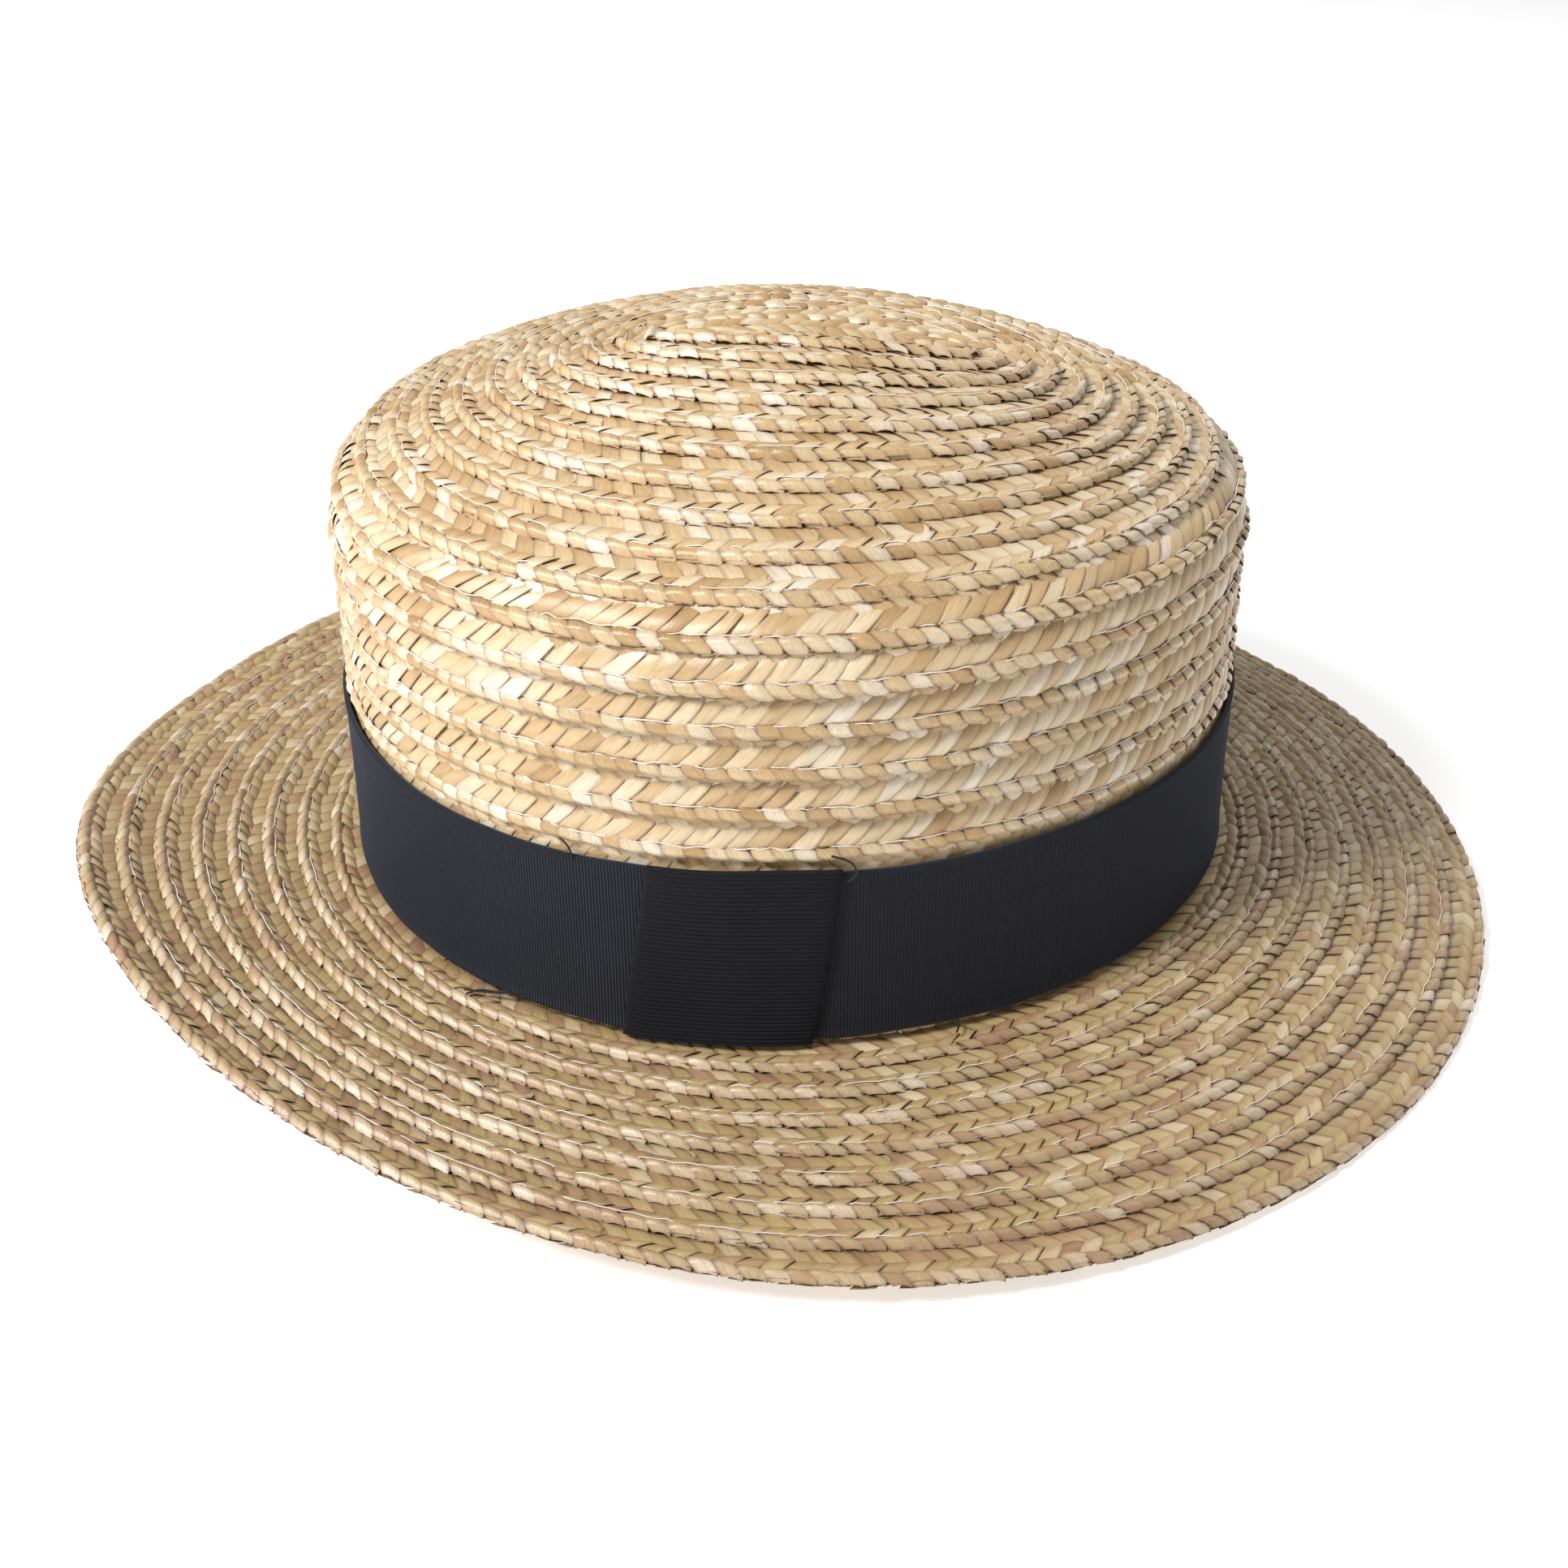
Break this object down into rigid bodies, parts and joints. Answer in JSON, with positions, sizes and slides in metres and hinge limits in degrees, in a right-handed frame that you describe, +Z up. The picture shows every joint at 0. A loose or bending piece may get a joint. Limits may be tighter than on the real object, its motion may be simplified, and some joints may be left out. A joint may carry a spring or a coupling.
{
  "type": "straw boater hat",
  "caption": "Straw boater with an oval flat-topped braided crown, a wavy round brim, a dark ribbon band and a flat ribbon tab at one side.",
  "frame": {"origin": "on the surface that the hat stands on, under the centre of its bounding box", "axes": "+X towards the wearer's back, the hat's longest way; -Y towards the wearer's left, the side with the tab; +Z up"},
  "size_m": [0.3158, 0.2868, 0.118],
  "materials": {
    "straw_crown": "glossy split-straw plait, pale gold, sewn in overlapping rows with clear thread",
    "straw_brim": "glossy split-straw plait, darker gold with tan and olive straws, sewn in overlapping rows",
    "ribbon": "matte near-black ribbed ribbon, ribs across its width",
    "ribbon_tab": "matte near-black ribbed ribbon, ribs level"
  },
  "bodies": {
    "root": {"crown": "straw_crown", "brim": "straw_brim", "hat_band": "ribbon", "band_tab": "ribbon_tab"}
  },
  "joints": []
}
